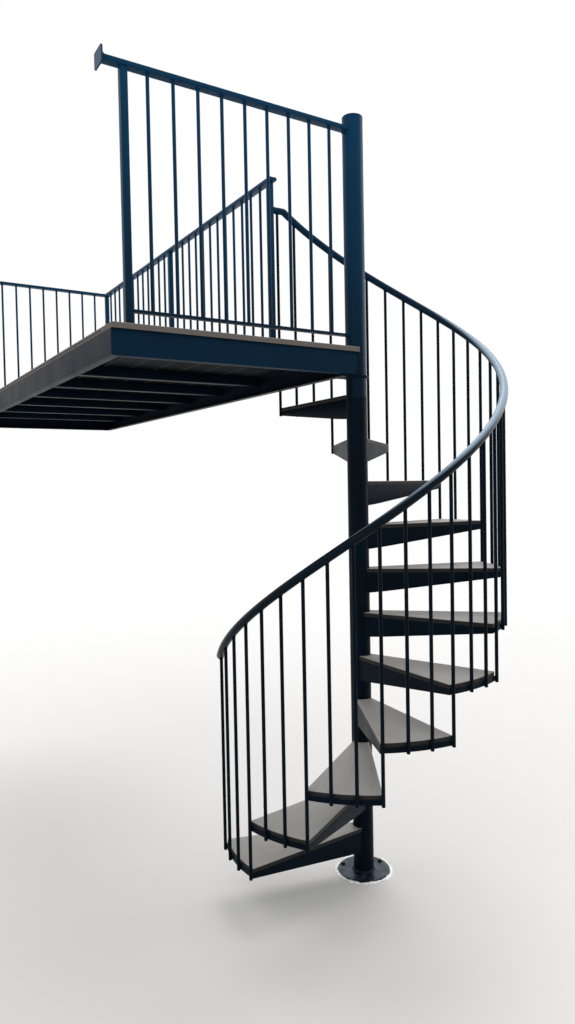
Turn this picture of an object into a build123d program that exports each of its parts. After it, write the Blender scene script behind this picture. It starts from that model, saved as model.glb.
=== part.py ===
from build123d import *
import os
from math import atan, cos, hypot, radians, sin

# Rise and turn of the stair
first_riser = 237
riser_height = 216
tread_count = 11
tread_angle = 26.43
tread_span_angle = 27.3
start_angle = 159.6
deck_top = first_riser + tread_count * riser_height

# Column, from the inside out
pole_diameter = 88.9
pole_wall = 5.5
column_diameter = 101.6
sleeve_play = 0.3
column_over_deck = 1132
cap_thickness = 6
cap_chamfer = 1.5
column_radius = column_diameter / 2
bore_radius = pole_diameter / 2 + sleeve_play
column_top = deck_top + column_over_deck

# Foot of the column
base_diameter = 260
base_thickness = 10
bolt_count = 3
bolt_circle = 220
bolt_hole = 14
base_chamfer = 2
first_bolt_angle = 4.5

# Treads
board_thickness = 20
board_radius = 688
inner_half_width = 34
plate_thickness = 6
hub_depth = 102
band_depth = 23
band_lip = 4
band_thickness = 8
board_play = 0.5
band_radius = board_radius + band_lip

# Stair balusters and handrail
baluster_diameter = 16
tread_baluster_count = 3
baluster_lead_angle = 0.8
baluster_drop = 4
rail_diameter = 38
rail_height = 906
rail_set_out = 3
rail_lead_angle = 2.0
rail_bend = 35
baluster_radius = band_radius + baluster_diameter / 2
rail_radius = baluster_radius + rail_set_out

# Landing frame and boards
wall_x = -1270
channel_depth = 106
channel_flange = 40
web_thickness = 6
flange_thickness = 7
deck_overhang = 12
deck_thickness = 25
joist_depth = 50
joist_width = 50
joist_pitch = 481
first_joist = 366
board_gap = 4
border_width = 139
board_count = 9
bracket_thickness = 8
frame_lead = 72
bracket_reach = 70
bracket_collar = 12
notch_play = 3
frame_x = -column_radius
frame_y = -frame_lead
frame_top = deck_top - deck_thickness

# Guards of the landing
guard_height = 1075
post_size = 32
foot_length = 100
foot_thickness = 8
top_rail_width = 50
top_rail_depth = 20
low_rail_depth = 12
low_rail_top = 74
guard_pitch = 110
bay_gap_count = 13
near_pitch = 115
near_baluster_count = 9
near_post_x = -1167
rail_overhang = 22
wall_flange = 90
wall_lip = 25
far_gap_count = 10
side_set_in = 5
corner_set_out = 2
side_x = frame_x - side_set_in
corner_y = rail_radius + corner_set_out
middle_y = corner_y + bay_gap_count * guard_pitch
far_y = middle_y + bay_gap_count * guard_pitch
frame_far_y = far_y + side_set_in + post_size / 2
rail_under = deck_top + guard_height - top_rail_depth
low_rail_z = deck_top + low_rail_top


def save(name, shape):
    shape.label = name
    export_step(shape, os.path.join("parts", name + ".step"))


def block(x0, x1, y0, y1, z0, z1):
    size = (x1 - x0, y1 - y0, z1 - z0)
    return Pos((x0 + x1) / 2, (y0 + y1) / 2, (z0 + z1) / 2) * Box(*size)


def rod(x, y, z0, z1, radius):
    return Pos(x, y, (z0 + z1) / 2) * Cylinder(radius, z1 - z0)


def prism(points, z0, z1):
    face = make_face(Polyline(*[(x, y, 0) for x, y in points], close=True))
    return Pos(0, 0, z0) * extrude(face, z1 - z0)


def polar(radius, angle):
    return radius * cos(radians(angle)), radius * sin(radians(angle))


def tread_top(number):
    return first_riser + (number - 1) * riser_height


def nosing_angle(number):
    return start_angle + (number - 1) * tread_angle


# Base plate with its bolt holes
bolt_angles = [first_bolt_angle + i * 360 / bolt_count for i in range(bolt_count)]
bolt_spots = [polar(bolt_circle / 2, angle) for angle in bolt_angles]
base = rod(0, 0, 0, base_thickness, base_diameter / 2)
for x, y in bolt_spots:
    base -= rod(x, y, 0, base_thickness, bolt_hole / 2)
base_rim = base.edges().filter_by(GeomType.CIRCLE).group_by(Axis.Z)[-1].sort_by(SortBy.RADIUS)[-1]
base = chamfer(base_rim, base_chamfer)

# Pole, upper sleeve and cap
pole = rod(0, 0, base_thickness, column_top - cap_thickness, pole_diameter / 2)
pole -= rod(0, 0, base_thickness, column_top - cap_thickness, pole_diameter / 2 - pole_wall)
upper_start = tread_top(tread_count) - board_thickness
upper_sleeve = rod(0, 0, upper_start, column_top - cap_thickness, column_radius)
upper_sleeve -= rod(0, 0, upper_start, column_top - cap_thickness, bore_radius)
cap = rod(0, 0, column_top - cap_thickness, column_top, column_radius)
cap = chamfer(cap.edges().group_by(Axis.Z)[-1], cap_chamfer)

# Tread outline along +X: corners of the wedge and its edge lines
half_span = tread_span_angle / 2
corner_x, corner_y_out = polar(board_radius, half_span)
edge_length = hypot(corner_x, corner_y_out - inner_half_width)
edge_dx = corner_x / edge_length
edge_dy = (corner_y_out - inner_half_width) / edge_length


def tread_plate():
    shift_x, shift_y = edge_dy * plate_thickness, -edge_dx * plate_thickness
    points = [(0, inner_half_width), (corner_x, corner_y_out)]
    points += [(x + shift_x, y + shift_y) for x, y in reversed(points)]
    return prism(points, -hub_depth, 0)


def tread_band():
    ring = rod(0, 0, -band_depth, 0, band_radius) - rod(0, 0, -band_depth, 0, band_radius - band_thickness)
    far = 2 * board_radius
    wedge = [(0, 0), polar(far, -half_span), (far, 0), polar(far, half_span)]
    return ring & prism(wedge, -band_depth, 0)


# Tapered plates on both sides, an outer band and the hub sleeve
taper = [(0, 0), (board_radius, 0), (board_radius, -band_depth)]
taper += [(column_radius, -hub_depth), (0, -hub_depth)]
side_view = make_face(Polyline(*[(x, 0, z) for x, z in taper], close=True))
taper_solid = extrude(side_view, board_radius, both=True)
plate = tread_plate() & taper_solid
arms = plate + mirror(plate, Plane.XZ) + tread_band()
arms -= rod(0, 0, -hub_depth, 0, column_radius)


def tread_frame(number):
    top = tread_top(number) - board_thickness
    bottom = base_thickness if number == 1 else top - riser_height
    sleeve = rod(0, 0, bottom - top, 0, column_radius) - rod(0, 0, bottom - top, 0, bore_radius)
    turn = nosing_angle(number) + half_span
    return Pos(0, 0, top) * Rot(0, 0, turn) * (arms + sleeve)


# Tread board, resting on the plates and the band
board_face = make_face([
    Line((0, -inner_half_width), (corner_x, -corner_y_out)),
    ThreePointArc((corner_x, -corner_y_out), (board_radius, 0), (corner_x, corner_y_out)),
    Line((corner_x, corner_y_out), (0, inner_half_width)),
    Line((0, inner_half_width), (0, -inner_half_width)),
])
tread_board = extrude(board_face, board_thickness)
tread_board -= rod(0, 0, 0, board_thickness, column_radius + board_play)


def placed_board(number):
    turn = nosing_angle(number) + half_span
    return Pos(0, 0, tread_top(number) - board_thickness) * Rot(0, 0, turn) * tread_board


# Handrail: a helix, a short bend and a level end at the corner post
slope_angle = atan(riser_height / (radians(tread_angle) * rail_radius))


def rail_z(angle):
    return first_riser + rail_height + riser_height * (angle - start_angle) / tread_angle


def tube(path):
    return sweep(Plane(path @ 0, z_dir=path % 0) * Circle(rail_diameter / 2), path=path)


rail_start_angle = start_angle + baluster_lead_angle - rail_lead_angle
rail_end_angle = 450
helix_pitch = riser_height * 360 / tread_angle
helix_rise = rail_z(rail_end_angle) - rail_z(rail_start_angle)
helix_start = Pos(0, 0, rail_z(rail_start_angle)) * Rot(0, 0, rail_start_angle)
helix = helix_start * Helix(helix_pitch, helix_rise, rail_radius)
bend_start = Vector(0, rail_radius, rail_z(rail_end_angle))


def bend_point(slope):
    across = rail_bend * (sin(slope_angle) - sin(slope))
    return bend_start + Vector(-across, 0, rail_bend * (cos(slope) - cos(slope_angle)))


bend = ThreePointArc(bend_point(slope_angle), bend_point(slope_angle / 2), bend_point(0))
rail_stop = Vector(side_x + post_size / 2, bend_point(0).Y, bend_point(0).Z)
handrail = tube(helix) + tube(bend) + tube(Line(bend_point(0), rail_stop))


# Stair balusters, cut on top to the underside of the handrail
def stair_baluster(angle, bottom):
    x, y = polar(baluster_radius, angle)
    top = min(rail_z(angle), rail_stop.Z)
    bar = rod(x, y, bottom, top, baluster_diameter / 2) - handrail
    return bar.solids().sort_by(Axis.Z)[0]


def tread_balusters(number):
    foot = tread_top(number) - board_thickness - band_depth - baluster_drop
    found = []
    for i in range(tread_baluster_count):
        angle = nosing_angle(number) + baluster_lead_angle + i * tread_angle / tread_baluster_count
        tie = i == 0 and number > 1
        found.append(stair_baluster(angle, foot - riser_height if tie else foot))
    if number == tread_count:
        found.append(stair_baluster(nosing_angle(number + 1) + baluster_lead_angle, foot))
    return found


# Landing frame: four channels mitred at the corners
def ring(x0, x1, y0, y1, width, z0, z1):
    return block(x0, x1, y0, y1, z0, z1) - block(x0 + width, x1 - width, y0 + width, y1 - width, z0, z1)


frame_low = frame_top - channel_depth
outline = (wall_x, frame_x, frame_y, frame_far_y)
frame = ring(*outline, web_thickness, frame_low, frame_top)
frame += ring(*outline, channel_flange, frame_low, frame_low + flange_thickness)
frame += ring(*outline, channel_flange, frame_top - flange_thickness, frame_top)
miter = 1.5 * channel_flange
corners = [(wall_x, frame_y), (frame_x, frame_y), (frame_x, frame_far_y), (wall_x, frame_far_y)]
inner_corners = [(wall_x + miter, frame_y + miter), (frame_x - miter, frame_y + miter),
                 (frame_x - miter, frame_far_y - miter), (wall_x + miter, frame_far_y - miter)]


def channel(side):
    ahead = (side + 1) % 4
    cut = [corners[side], corners[ahead], inner_corners[ahead], inner_corners[side]]
    return frame & prism(cut, frame_low, frame_top)


# Joists notched under the flanges of the channels
border_edge = frame_y - deck_overhang + border_width
joist_count = int((frame_far_y - channel_flange - first_joist - joist_width) / joist_pitch) + 1
joist_faces = [border_edge - joist_width / 2] + [first_joist + i * joist_pitch for i in range(joist_count)]
joist_low = frame_top - joist_depth


def joist(y):
    ends = (wall_x + web_thickness, frame_x - web_thickness)
    tips = (wall_x + channel_flange, frame_x - channel_flange)
    body = block(*ends, y, y + joist_width, joist_low, frame_top - flange_thickness)
    return body + block(*tips, y, y + joist_width, joist_low, frame_top)


joists = [joist(y) for y in joist_faces]

# Deck boards with a border board along the near edge
deck_right = frame_x + deck_overhang
deck_far = frame_far_y + deck_overhang
notch = rod(0, 0, frame_top, deck_top, column_radius + notch_play)
border = block(wall_x, deck_right, frame_y - deck_overhang, border_edge, frame_top, deck_top) - notch
deck_width = (deck_right - wall_x - (board_count - 1) * board_gap) / board_count
boards = [border]
for i in range(board_count):
    x = wall_x + i * (deck_width + board_gap)
    boards.append(block(x, x + deck_width, border_edge + board_gap, deck_far, frame_top, deck_top))

# Bracket plate between the column and the frame
bracket_low = frame_low - bracket_thickness
bracket = block(frame_x - bracket_reach, 0, -column_radius, column_radius, bracket_low, frame_low)
bracket += rod(0, 0, bracket_low, frame_low, column_radius + bracket_collar)
bracket -= rod(0, 0, bracket_low, frame_low, column_radius)


# Guard posts with their feet, and the bars between them
def guard_post(x, y, along_x):
    half, long = post_size / 2, foot_length / 2
    reach_x, reach_y = (long, half) if along_x else (half, long)
    foot_top = deck_top + foot_thickness
    foot = block(x - reach_x, x + reach_x, y - reach_y, y + reach_y, deck_top, foot_top)
    return foot + block(x - half, x + half, y - half, y + half, deck_top, rail_under)


def guard_bars(spots):
    return [rod(x, y, low_rail_z, rail_under, baluster_diameter / 2) for x, y in spots]


half_post = post_size / 2
half_rail = top_rail_width / 2
rail_top = deck_top + guard_height


# Guard along X: wall flange, wall post, two rails and bars
def cross_guard(y, low_end, top_end, spots):
    low_start = near_post_x + half_post
    guard = guard_post(near_post_x, y, True)
    post_y = (y - half_post, y + half_post)
    guard += block(low_start, low_end, *post_y, low_rail_z - low_rail_depth, low_rail_z)
    guard += block(wall_x, top_end, y - half_rail, y + half_rail, rail_under, rail_top)
    flange_y = (y - wall_flange / 2, y + wall_flange / 2)
    guard += block(wall_x, wall_x + flange_thickness, *flange_y, rail_under - wall_lip, rail_top + wall_lip)
    return guard + guard_bars([(x, y) for x in spots])


near_first = (near_post_x + half_post - column_radius) / 2 - (near_baluster_count - 1) / 2 * near_pitch
near_spots = [near_first + i * near_pitch for i in range(near_baluster_count)]
near_guard = cross_guard(0, 0, 0, near_spots)
near_guard -= rod(0, 0, deck_top, rail_top, column_radius)
far_pitch = (side_x - near_post_x) / far_gap_count
far_spots = [near_post_x + i * far_pitch for i in range(1, far_gap_count)]
far_guard = cross_guard(far_y, side_x - half_post, side_x - half_rail, far_spots)


# Guard along Y between two posts, with the rail over both
def side_guard(start, stop, rail_from, rail_to):
    reach = (start + half_post, stop - half_post)
    guard = block(side_x - half_post, side_x + half_post, *reach, low_rail_z - low_rail_depth, low_rail_z)
    guard += block(side_x - half_rail, side_x + half_rail, rail_from, rail_to, rail_under, rail_top)
    return guard + guard_bars([(side_x, start + i * guard_pitch) for i in range(1, bay_gap_count)])


side_near = side_guard(corner_y, middle_y, corner_y - half_post - rail_overhang, middle_y)
side_far = side_guard(middle_y, far_y, middle_y, far_y + half_rail)

# Every piece is written to its own file
os.makedirs("parts", exist_ok=True)
save("base_plate", base)
save("centre_pole", pole)
save("upper_sleeve", upper_sleeve)
save("column_cap", cap)
for number in range(1, tread_count + 1):
    save("tread_frame_%02d" % number, tread_frame(number))
    save("tread_board_%02d" % number, placed_board(number))
groups = {"lower": range(1, 5), "middle": range(5, 9), "upper": range(9, tread_count + 1)}
for name, numbers in groups.items():
    save("stair_balusters_" + name, Compound(children=[bar for n in numbers for bar in tread_balusters(n)]))
save("handrail", handrail)
for side, name in enumerate(["near_channel", "side_channel", "far_channel", "wall_ledger"]):
    save(name, channel(side))
save("joists", Compound(children=joists))
save("deck_boards", Compound(children=boards))
save("column_bracket", bracket)
save("corner_post", guard_post(side_x, corner_y, False))
save("middle_post", guard_post(side_x, middle_y, False))
save("far_post", guard_post(side_x, far_y, False))
save("near_guard", near_guard)
save("side_guard_near", side_near)
save("side_guard_far", side_far)
save("far_guard", far_guard)
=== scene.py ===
"""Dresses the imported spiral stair: powder-coated steel, capped composite boards, welds, bolts and sealant."""
from functools import partial
from math import atan, cos, hypot, pi, radians, sin, sqrt

import bpy
import numpy as np
from bpy.props import FloatProperty, FloatVectorProperty, IntProperty, PointerProperty
from mathutils import Matrix, Vector


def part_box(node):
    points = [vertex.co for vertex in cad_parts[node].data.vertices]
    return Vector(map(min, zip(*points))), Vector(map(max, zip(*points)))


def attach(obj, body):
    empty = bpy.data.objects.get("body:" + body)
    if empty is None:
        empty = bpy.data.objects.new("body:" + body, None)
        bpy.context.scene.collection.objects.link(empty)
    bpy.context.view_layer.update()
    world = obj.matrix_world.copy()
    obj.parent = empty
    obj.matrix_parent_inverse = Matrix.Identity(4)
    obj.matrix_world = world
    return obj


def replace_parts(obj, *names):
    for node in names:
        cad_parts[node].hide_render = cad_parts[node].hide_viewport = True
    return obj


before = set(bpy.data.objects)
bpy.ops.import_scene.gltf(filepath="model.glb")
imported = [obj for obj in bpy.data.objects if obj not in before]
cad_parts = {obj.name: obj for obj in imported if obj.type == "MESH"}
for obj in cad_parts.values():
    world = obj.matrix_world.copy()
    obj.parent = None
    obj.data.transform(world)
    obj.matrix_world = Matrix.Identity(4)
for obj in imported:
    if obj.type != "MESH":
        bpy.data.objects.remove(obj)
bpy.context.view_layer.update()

bl_info = {
    "name": "Spiral Stair Dressing",
    "version": (1, 0, 0),
    "blender": (4, 5, 0),
    "location": "View3D > Sidebar > Stair",
    "description": "Surfaces and finishes of an outdoor spiral stair with a landing",
    "category": "Object",
}

Z = np.array([0.0, 0.0, 1.0])


# Sizes read from the frame
def node_box(name):
    """A node's lowest and highest corners as arrays."""
    low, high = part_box(name)
    return np.array(low), np.array(high)


SLEEVE = node_box("upper_sleeve")
DECK = node_box("deck_boards")
FIRST_BOARD = node_box("tread_board_01")
CORNER_POST = node_box("corner_post")
NEAR_GUARD = node_box("near_guard")
COLUMN_RADIUS = (SLEEVE[1][0] - SLEEVE[0][0]) / 2
FIRST_RISER = FIRST_BOARD[1][2]
RISER = node_box("tread_board_02")[1][2] - FIRST_RISER
BOARD_THICKNESS = FIRST_RISER - FIRST_BOARD[0][2]
DECK_TOP = DECK[1][2]
TREADS = round((DECK_TOP - FIRST_RISER) / RISER)

# Fine sizes in metres. A bolt is its head's width across the flats, its height and its washer's radius
ANCHOR_BOLT = (0.018, 0.0075, 0.013)
LEDGER_BOLT = (0.016, 0.007, 0.011)
GUARD_BOLT = (0.010, 0.0048, 0.0078)
WASHER = 0.0023
SLEEVE_WALL = 0.006
PLATE_EASE, BAR_EASE, BOARD_EASE = 0.0012, 0.0012, 0.003
BOARD_CLEARANCE, BORDER_CLEARANCE = 0.0005, 0.003
SCALLOP_PITCH, SCALLOP_HEIGHT = 0.017, 0.0045
# Posts' foot plates and rails' wall plates: half of the length, and a bolt's place from the middle
POST_FOOT, POST_FOOT_BOLT, POST_FOOT_TOP = 0.05, 0.036, DECK_TOP + 0.008
WALL_PLATE, WALL_PLATE_BOLT, WALL_PLATE_HEIGHT, WALL_PLATE_DEPTH = 0.045, 0.034, 0.07, 0.007
# The wall plates stand 25 mm over the top rails
RAIL_TOP = NEAR_GUARD[1][2] - 0.025
# Radii of the weld beads
FOOT_WELD, BRACKET_WELD, CAP_WELD, CORNER_WELD = 0.0058, 0.003, 0.0019, 0.0018
HUB_WELD, BAND_WELD, BAR_WELD, BAR_HEAD_WELD = 0.0024, 0.002, 0.0017, 0.0019
HANDRAIL_WELD, POST_WELD, RAIL_END_WELD = 0.0024, 0.0024, 0.003
# How far the grain is moved from one board to the next, so that no two boards look the same
TREAD_GRAIN = np.array([3.7, 1.9, 0.3])
DECK_GRAIN = np.array([2.3, 1.7, 0.4])
BORDER_GRAIN = np.array([31.0, 17.0, 0])


def linear(code):
    """An sRGB hex colour as the linear values that Blender works with."""
    parts = np.array([int(code[i:i + 2], 16) for i in (1, 3, 5)]) / 255
    return tuple(np.where(parts <= 0.04045, parts / 12.92, ((parts + 0.055) / 1.055) ** 2.4)) + (1.0,)


# Properties with their unit or subtype
def a_length(name, description, default):
    return FloatProperty(name=name, description=description, default=default, unit="LENGTH")


def an_angle(name, description, degrees):
    return FloatProperty(name=name, description=description, default=radians(degrees), subtype="ANGLE")


def a_count(name, description, default):
    return IntProperty(name=name, description=description, default=default)


def a_colour(name, description, code):
    return FloatVectorProperty(name=name, description=description, default=linear(code), subtype="COLOR",
                               size=4, min=0, max=1)


class StairSizes(bpy.types.PropertyGroup):
    first_turn: an_angle("First turn", "Angle of the first tread's front corner", 159.6)
    tread_angle: an_angle("Turn per tread", "Turn from one tread to the next", 26.43)
    tread_span: an_angle("Tread span", "Angle between a tread's outer corners", 27.3)
    tread_radius: a_length("Tread radius", "Outer radius of the tread boards", 0.688)
    hub_width: a_length("Hub width", "Half of a tread's width at the column's axis", 0.034)
    hub_depth: a_length("Hub depth", "Depth of a side plate at the column", 0.102)
    band_depth: a_length("Band depth", "Depth of the outer band under the board", 0.023)
    band_lip: a_length("Band lip", "How far the band stands out past the board", 0.004)
    band_width: a_length("Band width", "Thickness of the outer band", 0.008)
    plate_width: a_length("Plate width", "Thickness of the side plates", 0.006)
    bar_radius: a_length("Bar radius", "Radius of the round balusters", 0.008)
    bar_lead: an_angle("Bar lead", "Turn from a front corner to its baluster", 0.8)
    bar_drop: a_length("Bar drop", "How far a baluster ends under the band", 0.004)
    bars_per_tread: a_count("Bars per tread", "Balusters along each tread", 3)
    rail_radius: a_length("Rail radius", "Radius of the handrail tube", 0.019)
    rail_height: a_length("Rail height", "Centre of the handrail over the nosing line", 0.9)
    rail_gain: a_length("Rail gain", "Extra height that the handrail gains at its top", 0.0285)
    rail_level: a_length("Rail level", "Centre of its level end over the deck", 0.905)
    rail_out: a_length("Rail offset", "Handrail centre outside the balusters' circle", 0.003)
    rail_lead: an_angle("Rail lead", "Turn of the handrail before the first baluster", 2.0)
    rail_bend: a_length("Rail bend", "Bend radius at the handrail's level end", 0.035)
    post_width: a_length("Post width", "Side of the square posts", 0.032)
    rail_width: a_length("Top rail width", "Width of the guards' top rail", 0.05)
    rail_depth: a_length("Top rail depth", "Height of the guards' top rail", 0.02)
    low_rail_top: a_length("Low rail", "Top of the low rail over the deck", 0.074)
    low_rail_depth: a_length("Low rail depth", "Height of the low rail", 0.012)
    side_pitch: a_length("Side pitch", "Pitch of the bars in the side guard", 0.11)
    near_pitch: a_length("Near pitch", "Pitch of the bars in the near guard", 0.115)
    side_gaps: a_count("Side gaps", "Gaps in each bay of the side guard", 13)
    far_gaps: a_count("Far gaps", "Gaps in the far guard", 10)
    near_bars: a_count("Near bars", "Bars in the near guard", 9)
    near_post: a_length("Near post", "Place of the posts beside the wall, along X", -1.167)
    bolt_circle: a_length("Bolt circle", "Diameter of the anchor bolts' circle", 0.22)
    bolt_turn: an_angle("Bolt turn", "Angle of the first anchor bolt", 4.5)
    flange_width: a_length("Flange width", "Width of a channel's flanges", 0.04)
    flange_depth: a_length("Flange thickness", "Thickness of a channel's flanges", 0.007)
    web_width: a_length("Web thickness", "Thickness of a channel's web", 0.006)
    joist_width: a_length("Joist width", "Width of a square joist", 0.05)
    joist_pitch: a_length("Joist pitch", "Distance between two joists", 0.481)
    board_count: a_count("Deck boards", "Long boards across the landing", 9)
    board_gap: a_length("Board gap", "Gap between two deck boards", 0.004)
    border_width: a_length("Border width", "Width of the deck's border board", 0.139)


class StairColours(bpy.types.PropertyGroup):
    coat: a_colour("Powder coat", "Black powder coat", "#070a0d")
    # Painted sky reflection: the blue that the coat is painted with from 2.3 m up
    coat_painted_reflection: a_colour("Powder coat, pale", "Where the coat has faded", "#0b3450")
    # Dust on level steel, with a painted sky sheen on faces that point up
    dust_and_sky_sheen: a_colour("Dust", "Dust that settles on level steel", "#5f6d76")
    # Painted highlight along the top of the handrail
    painted_highlight: a_colour("Chalk", "Film that the sun leaves on top of the handrail", "#90a5b7")
    board_light: a_colour("Board, light", "Light streaks of the boards", "#a29f9b")
    board_dark: a_colour("Board, dark", "Dark streaks of the boards", "#9a9793")
    board_pale: a_colour("Board, bleached", "Where the sun has bleached a board", "#adaaa6")
    deck_edge: a_colour("Deck edge", "Edges of the deck boards", "#605b58")
    # The tread boards' cut edges: dark, and darker still as painted shade
    tread_edge_and_shade: a_colour("Tread edge", "Cut edges of the tread boards", "#1a1919")
    # Painted sky reflection on the tread boards' underside
    tread_under_painted_reflection: a_colour("Tread underside", "Uncapped underside of tread boards", "#2b3d4b")
    # Painted shade on the deck boards' underside
    deck_under_painted_shade: a_colour("Deck underside", "Uncapped underside of deck boards", "#0a0e13")
    sealant: a_colour("Sealant", "Bead round the base plate", "#f7f7f4")
    floor: a_colour("Floor", "Stage floor", "#dcdbd9")


def sizes():
    return bpy.context.scene.stair_sizes


def colours():
    return bpy.context.scene.stair_colours


# Materials
def add_node(tree, kind, settings=None, links=None, output=None):
    """Adds one node, sets its values by name or index, links its inputs, and gives one output."""
    item = tree.nodes.new(kind)
    for key, value in (settings or {}).items():
        if isinstance(key, str) and hasattr(item, key):
            setattr(item, key, value)
        else:
            item.inputs[key].default_value = value
    for key, source in (links or {}).items():
        tree.links.new(source, item.inputs[key])
    if output:
        return item.outputs[output]
    return next((port for port in item.outputs if port.enabled), None)


def finish(name, nodes, *settings):
    """The material of this name. The first time, nodes(add, *settings) adds its nodes and gives the
    shader, which is linked to the output. add is add_node for this material's own tree."""
    material = bpy.data.materials.get(name)
    if not material:
        material = bpy.data.materials.new(name)
        material.use_nodes = True
        material.node_tree.nodes.clear()
        add = partial(add_node, material.node_tree)
        add("ShaderNodeOutputMaterial", links={"Surface": nodes(add, *settings)})
    return material


def powder_coat(add, gloss, roughness, dust_and_sheen, reflection_low, reflection_high, highlight_strength=0.0):
    """Black powder coat on mild steel: sprayed dry and baked, which leaves an orange peel of a few millimetres.
    Its upper parts are painted bluer as painted sky reflection, and Dust, with a painted sky sheen, lies where
    it faces up."""
    tones = colours()
    place = add("ShaderNodeTexCoord", output="Object")
    above = add("ShaderNodeSeparateXYZ", links={"Vector": place}, output="Z")
    normal = add("ShaderNodeNewGeometry", output="Normal")
    height = add("ShaderNodeSeparateXYZ", links={"Vector": normal}, output="Z")
    # Painted sky reflection: the coat is painted bluer from 2.3 m up, and a little bluer at random in patches
    # of about 200 mm
    sky_reflection = add("ShaderNodeMapRange", {"From Min": 2.3, "From Max": 3.6, "To Min": reflection_low, "To Max": reflection_high},
                {"Value": above})
    patches = add("ShaderNodeTexNoise", {"Scale": 5.0, "Detail": 4.0}, {"Vector": place})
    uneven = add("ShaderNodeMapRange", {"From Min": 0.38, "From Max": 0.66, "To Max": 0.06},
                 {"Value": patches})
    share = add("ShaderNodeMath", {"operation": "ADD"}, {0: sky_reflection, 1: uneven})
    tone = add("ShaderNodeMix", {"data_type": "RGBA", 6: tones.coat, 7: tones.coat_painted_reflection}, {0: share})
    # Dust, with a painted sky sheen, on faces that point up: thicker in some spots of about 40 mm than in
    # others
    level = add("ShaderNodeMapRange", {"From Min": 0.8, "From Max": 1.0}, {"Value": height})
    spots = add("ShaderNodeTexNoise", {"Scale": 24.0, "Detail": 5.0}, {"Vector": place})
    thick = add("ShaderNodeMapRange", {"From Min": 0.35, "From Max": 0.7, "To Max": dust_and_sheen},
                {"Value": spots})
    dust_sheen_mask = add("ShaderNodeMath", {"operation": "MULTIPLY"}, {0: level, 1: thick})
    layers = [(dust_sheen_mask, tones.dust_and_sky_sheen)]
    if highlight_strength:
        # Painted highlight along the top of the tube, where it faces up. It widens from 1.6 m up, and narrows
        # again from 2.6 m up
        upper = add("ShaderNodeMapRange", {"From Min": 1.6, "From Max": 2.4}, {"Value": above})
        highlight_narrows = add("ShaderNodeMapRange",
                     {"From Min": 2.6, "From Max": 2.95, "To Min": 1.0, "To Max": 0.25}, {"Value": above})
        spread = add("ShaderNodeMath", {"operation": "MULTIPLY"}, {0: upper, 1: highlight_narrows})
        reach = add("ShaderNodeMath", {"operation": "ADD"}, {0: spread, 1: height})
        painted_highlight_mask = add("ShaderNodeMapRange", {"From Min": 0.9, "From Max": 1.5, "To Max": highlight_strength},
                   {"Value": reach})
        layers.append((painted_highlight_mask, tones.painted_highlight))
    for cover, colour in layers:
        tone = add("ShaderNodeMix", {"data_type": "RGBA", 7: colour}, {0: cover, 6: tone})
    low, high = roughness - 0.05, roughness + 0.05
    sheen = add("ShaderNodeMapRange", {"From Min": 0.3, "From Max": 0.7, "To Min": low, "To Max": high},
                {"Value": patches})
    # The real peel is 2 mm wide, and is drawn at 5 mm so that it shows
    peel = add("ShaderNodeTexNoise", {"Scale": 1 / 0.005, "Detail": 1.0}, {"Vector": place})
    bump = add("ShaderNodeBump", {"Strength": 0.06, "Distance": 0.0002}, {"Height": peel})
    return add("ShaderNodeBsdfPrincipled",
               {"IOR": 1.5, "Specular IOR Level": gloss, "Specular Tint": linear("#9cc4e8")},
               {"Base Color": tone, "Roughness": sheen, "Normal": bump})


# Grades of the coat: gloss, roughness, dust with painted sky sheen, painted sky reflection low down and high
# up, and painted highlight
COATS = {
    # Little painted sky reflection, the shaded grade: treads, stair balusters, joists and the farther channels
    "shaded": (0.05, 0.45, 0.3, 0.04, 0.2),
    # More painted sky reflection, as if in the sun: the near channel, and the seams of frame and column
    "painted_sunlit": (0.05, 0.5, 0.3, 0.3, 0.5),
    # Pooled thick and glossy before it set, with more dust and painted sky sheen: the base plate and its weld
    "pooled": (0.3, 0.22, 0.45, 0.15, 0.15),
    # Smoother, with strong painted sky reflection high up: the upper column and the guards
    "smooth": (0.1, 0.34, 0.2, 0.05, 0.95),
    # Rubbed glossy by hands and rain, with a painted highlight along its top: the handrail
    "handled": (0.12, 0.28, 0.2, 0.03, 0.6, 1.0),
}


def coat(grade):
    """The coat in one of its grades."""
    return finish(grade + "_powder_coat", powder_coat, *COATS[grade])


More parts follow.
